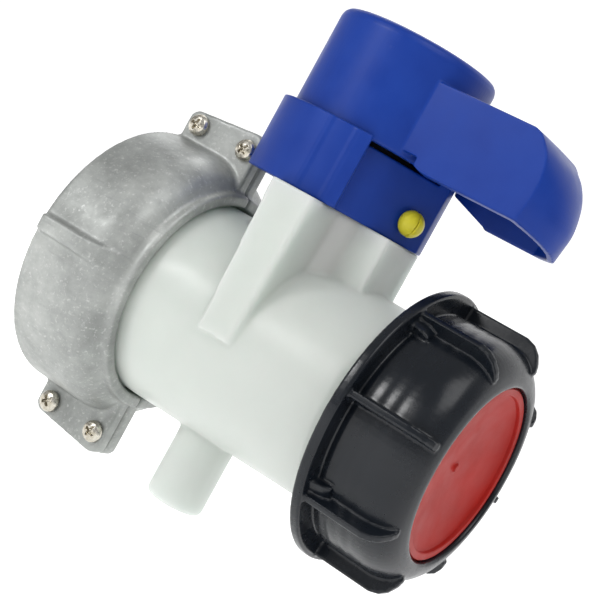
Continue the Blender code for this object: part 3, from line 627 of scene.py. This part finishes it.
# the block's face carries one shallow upright flute
flute = [(27.6 * cos(radians(a)), 27.6 * sin(radians(a))) for a in range(-90, -69, 2)]
flute += [((26.15 if -88 < a < -72 else 26.5) * cos(radians(a)), (26.15 if -88 < a < -72 else 26.5) * sin(radians(a))) for a in range(-70, -91, -2)]
boolean(collar, helper(add("collar_flute", prism(flute, 40.0, 70.0), None, datum)))
pin_matrix = Matrix(((tx, 0, nx), (ty, 0, ny), (0, 1, 0)))   # columns: tangent, up, out


def pin_turned(profile, seg=20):
    bm = turned(profile, "Z", seg)
    for v in bm.verts:
        v.co = pin_matrix @ v.co
    return bm


pin_at = (nx * COLLAR_SLEEVE_R + tx * PIN_TANGENT, ny * COLLAR_SLEEVE_R + ty * PIN_TANGENT, PIN_Z)
boolean(collar, helper(add("pin_hole", pin_turned([(-4.4, 0.0), (-4.4, 2.6), (4.0, 2.6), (4.0, 0.0)]), None, datum, pin_at)))

settle(collar, "neck_collar", "valve", BLUE, voxel=0.32, smooth=2)

# -------------------------------------------------------------- the lock pin
pin = add("lock_pin", pin_turned([
    (-4.0, 0.0), (-4.0, 1.7), (-3.4, 2.2), (GAP, 2.2), (GAP, 3.2), (1.0, 3.65), (2.0, 3.7), (3.1, 3.3), (4.1, 2.4),
    (4.7, 1.2), (4.9, 0.0)], 24), None, datum, pin_at)
def pin_cut(label, outline, low, high):
    bm = prism(outline, low, high)
    for v in bm.verts:
        v.co = pin_matrix @ v.co
    boolean(pin, helper(add(label, bm, None, datum, pin_at)))


pin_cut("pin_notch_up", [(0.25, 1.9), (1.05, 5.0), (-0.45, 5.0)], 0.5, 8.0)
pin_cut("pin_notch_down", [(-0.25, -2.1), (0.35, -5.0), (-0.95, -5.0)], 0.5, 8.0)
pin_cut("pin_slit", [(0.1, 4.0), (0.42, 4.0), (0.0, -4.0), (-0.32, -4.0)], 3.9, 8.0)
settle(pin, "lock_pin", "pin", YELLOW, voxel=0.13, smooth=4)


# ---------------------------------------------------------- the lever itself
HOOD = (  # z, then x of the outline at the side walls and at the tip
    (57.2, 53.2, 61.5), (61.0, 53.7, 62.0), (66.0, 54.6, 62.4), (71.5, 54.9, 61.2), (75.5, 54.3, 59.4),
    (79.0, 53.0, 56.6), (81.6, 51.0, 53.0), (83.4, 49.0, 49.7), (84.2, 46.6, 46.9))


def hood_section(z, side, tip, inset):
    """Plan outline of the hood at one height: two side walls and a round nose."""
    side, tip, half = side - inset * 0.8, tip - inset, HOOD_HALF - inset
    steps = 32
    pts = [(12.0, -half), (side, -half)]
    for k in range(1, steps):
        y = half * (-1 + 2 * k / steps)
        pts.append((side + (tip - side) * (1 - (y / half) ** 2), y))
    pts += [(side, half), (12.0, half)]
    return [(x, y, z) for x, y in pts]


HOOD_FINE = curve(HOOD, 4)
hood = loft([hood_section(z, a, b, 0.0) for z, a, b in HOOD_FINE])
hood_room = loft([hood_section(z, a, b, 2.2) for z, a, b in
                  [(50.0, 52.8, 61.1)] + [row for row in HOOD[1:-2]] + [(82.0, 49.6, 50.6)]])
lever = add("lever", turned([
    (CAP_Z[0], CAP_R - 0.4), (CAP_Z[0] + 0.4, CAP_R), (CAP_Z[1] - 2.6, CAP_R), (CAP_Z[1] - 1.3, CAP_R - 0.35),
    (CAP_Z[1] - 0.4, CAP_R - 1.2), (CAP_Z[1], CAP_R - 2.6), (CAP_Z[1], 0.0), (CAP_Z[1] - 3.0, 0.0),
    (CAP_Z[1] - 3.0, CAP_R - 2.4), (CAP_Z[0], CAP_R - 2.4)], "Z", 36), None, lever_axis)
hood_obj = helper(add("hood", hood, None, lever_axis))
# open the hood from below, leave the cap's own wall standing
boolean(hood_obj, helper(add("hood_room", hood_room, None, lever_axis)))
boolean(hood_obj, helper(add("cap_room", turned([
    (50.0, 0.0), (50.0, CAP_R - 1.2), (95.0, CAP_R - 1.2), (95.0, 0.0)], "Z", 36), None, lever_axis)))
boolean(hood_obj, helper(add("collar_clearance", turned([
    (50.0, 0.0), (50.0, COLLAR_R + 0.7), (64.3, COLLAR_R + 0.7), (64.3, 0.0)], "Z", 36), None, lever_axis)))
# the lower edge is higher on the near wall, and rises towards the cap on both
slope = prism([(-40.0, 45.0), (4.0, 45.0), (4.0, 57.1), (-40.0, 66.2)], 10.0, 70.0, "X")
boolean(hood_obj, helper(add("hood_lower_edge", slope, None, lever_axis)))
heel = prism([(z, x) for x, z in ((5.0, 45.0), (35.5, 45.0), (35.5, 57.6), (22.0, 62.1), (5.0, 62.1))], -30.0, 30.0, "Y")
boolean(hood_obj, helper(add("hood_heel", heel, None, lever_axis)))
boolean(lever, hood_obj, "UNION")
# inner web across the hood, and the hub that takes the drive square
web = box((46.2, 48.0), (-HOOD_HALF + 1.0, HOOD_HALF - 1.0), (63.0, 83.3))
boolean(lever, helper(add("hood_web", web, None, lever_axis)), "UNION")
hub = helper(add("hub", turned([
    (64.6, 0.0), (64.6, 13.2), (CAP_Z[1] - 2.0, 13.8), (CAP_Z[1] - 2.0, 0.0)], "Z", 32), None, lever_axis))
boolean(lever, hub, "UNION")
boolean(lever, helper(add("drive_socket", box((-8.3, 8.3), (-8.3, 8.3), (60.0, 80.4)), None, lever_axis)))
settle(lever, "lever", "handle", BLUE, voxel=0.34, smooth=2)


disc = add("outlet_seal_disc", turned([
    (66.7, 22.9), (66.7, 28.7), (68.9, 28.7), (68.9, 25.0), (69.9, 25.0), (70.25, 24.7), (70.25, 23.1), (70.05, 22.85), (69.25, 22.7),
    *curve([(69.1, 22.5), (68.6, 21.4), (67.9, 19.0), (67.1, 14.5), (66.55, 9.0), (66.3, 4.5), (66.2, 2.0)]), (66.35, 1.3), (66.85, 1.05), (66.95, 0.7),
    (66.95, 0.0), (64.1, 0.0), (64.8, 12.5), (66.0, 20.0)], "X", 50), None, cap_axis)
nut = add("outlet_cap_nut", turned([
    (NUT_X[0], NUT_FLANGE_R - 0.5), (NUT_X[0] + 0.5, NUT_FLANGE_R), (NUT_X[0] + 2.6, NUT_FLANGE_R),
    (NUT_X[0] + 3.0, NUT_FLANGE_R - 0.4), (NUT_X[0] + 3.0, NUT_BARREL_R - 0.5), (48.6, NUT_BARREL_R - 0.1),
    *[(49.0 + 0.4 * k, NUT_BARREL_R - 0.05 + 0.05 * cos(2 * pi * 0.4 * k / 3.73)) for k in range(29)],
    *curve([(60.8, NUT_BARREL_R), (63.0, 33.9), (65.3, 33.45), (67.5, 32.6), (69.3, 31.2), (70.6, 29.4), (71.3, 27.3)]), (NUT_X[1], NUT_OPEN_R + 0.5), (NUT_X[1] - 0.5, NUT_OPEN_R),
    (69.2, NUT_OPEN_R), (69.2, 29.3), (64.4, 29.3), (64.4, 24.0), (NUT_X[0], 24.0)], "X", 40), None, cap_axis)


def nut_rib(angle_deg):
    """Radial fin from the flange to the front shoulder."""
    outline = [(45.5, 31.2), (45.5, NUT_RIB_R), (64.4, NUT_RIB_R - 0.1), (67.0, 37.2), (69.0, 35.5), (70.4, 33.0),
               (70.9, 30.9), (70.2, 29.6), (66.0, 30.6), (62.0, 31.2)]
    bm = prism(outline, -0.98, 0.98)          # (x, r) drawn flat, thickness along Z
    a = radians(angle_deg)
    for v in bm.verts:
        x, r, t = v.co
        v.co = Vector((x, r * cos(a) - t * sin(a), r * sin(a) + t * cos(a)))
    return bm


def nut_gusset(angle_deg, side):
    """Small bracket between a rib and the flange, on one side of the rib."""
    a = radians(angle_deg)
    bm = prism([(46.0, 31.2), (46.0, 36.6), (50.6, 35.9), (52.4, 34.9), (52.4, 31.2)], min(0.0, side * 4.4), max(0.0, side * 4.4))
    for v in bm.verts:
        x, r, t = v.co
        v.co = Vector((x, r * cos(a) - t * sin(a), r * sin(a) + t * cos(a)))
    return bm


for k in range(NUT_RIBS):
    at = 180 - NUT_RIB_PHASE + 360 * k / NUT_RIBS
    boolean(nut, helper(add(f"nut_rib_{k}", nut_rib(at), None, cap_axis)), "UNION")
    if k % 2:
        boolean(nut, helper(add(f"nut_gusset_{k}", nut_gusset(at, 1 if k in (3, 7) else -1), None, cap_axis)), "UNION")
boolean(nut, helper(add("nut_thread", threaded_rod(
    41.0, 66.0, 27.8, 30.5, THREAD_PITCH, FEMALE, plain=(1.0, 2.0), fade=1.6), None, cap_axis)))
boolean(nut, helper(add("nut_mouth", turned([
    (40.0, 0.0), (40.0, 31.6), (44.4, 31.6), (45.7, 30.8), (46.47, 30.8), (46.47, 0.0)], "X", 40), None, cap_axis)))
settle(disc, "outlet_seal_disc", "seal", RED, angle=35)
settle(nut, "outlet_cap_nut", "cap_nut", BLACK, voxel=0.34, smooth=2)
for obj in HELPERS:
    bpy.data.objects.remove(obj, do_unlink=True)


# --------------------------------------------------------------------- stage
def sweep():
    """A pale floor that curves up behind into a backdrop."""
    bm = bmesh.new()
    line = [(-4.0, -0.0575), (1.6, -0.0575)]
    line += [(1.6 + 1.2 * sin(radians(a)), -0.0575 + 1.2 - 1.2 * cos(radians(a))) for a in range(6, 91, 6)]
    line += [(2.8, 5.0)]
    rows = [[bm.verts.new((x, y, z)) for y, z in line] for x in (-5.0, 5.0)]
    for k in range(len(line) - 1):
        bm.faces.new((rows[0][k], rows[1][k], rows[1][k + 1], rows[0][k + 1]))
    mesh = bpy.data.meshes.new("floor")
    bm.to_mesh(mesh)
    bm.free()
    mesh.shade_smooth()
    obj = bpy.data.objects.new("floor", mesh)
    bpy.context.scene.collection.objects.link(obj)
    mat, tree, shader = nodes_of("floor_pale")
    tree.links.new(ramp(tree, noise(tree, 3.0, 3.0), [(0.3, (0.88, 0.88, 0.88)), (0.7, (0.90, 0.90, 0.90))]), shader.inputs["Base Color"])
    shader.inputs["Roughness"].default_value = 0.9
    shader.inputs["Specular IOR Level"].default_value = 0.0
    shader.inputs["Emission Color"].default_value = (1.0, 1.0, 1.0, 1.0)
    shader.inputs["Emission Strength"].default_value = 0.58
    mesh.materials.append(mat)
    return obj


sweep()
world = bpy.data.worlds.new("studio")
bpy.context.scene.world = world
world.use_nodes = True
world.node_tree.nodes["Background"].inputs["Color"].default_value = (1.0, 1.0, 1.0, 1.0)
world.node_tree.nodes["Background"].inputs["Strength"].default_value = 0.40
bpy.context.scene.view_settings.view_transform = "Standard"

EYE = Vector(((182.55 + STEM_X) * MM, -342.8 * MM, 39.49 * MM))
RIGHT, UP, BACK = Vector((0.7639, 0.4294, 0.4817)), Vector((-0.4520, -0.1765, 0.8743)), Vector((0.4605, -0.8857, 0.0593))
AIM = Vector((STEM_X * MM, 0, 0.02))


def light(name, side, height, near, size, power, colour=(1, 1, 1)):
    """An area light placed in the camera's own directions, aimed at the part."""
    data = bpy.data.lights.new(name, "AREA")
    data.shape = "RECTANGLE"
    data.size, data.size_y = size
    data.energy = power
    data.color = colour
    obj = bpy.data.objects.new(name, data)
    bpy.context.scene.collection.objects.link(obj)
    at = AIM + RIGHT * side + UP * height + BACK * near
    obj.location = at
    obj.rotation_euler = (AIM - at).to_track_quat("-Z", "Y").to_euler()
    return obj


light("key", 0.50, 0.60, 0.62, (0.6, 0.6), 3.0)
light("front", -0.45, 0.62, 0.46, (0.20, 0.20), 2.2)
light("rim", 0.3, 0.8, -0.6, (0.5, 0.4), 1.6)

camera_data = bpy.data.cameras.new("camera")
camera_data.lens = 85.1
camera_data.sensor_width = 36.0
camera_data.clip_start = 0.01
camera = bpy.data.objects.new("camera", camera_data)
bpy.context.scene.collection.objects.link(camera)
turn_to = Matrix((RIGHT, UP, BACK)).transposed().to_quaternion()
camera.matrix_world = Matrix.Translation(EYE) @ turn_to.to_matrix().to_4x4()
bpy.context.scene.camera = camera
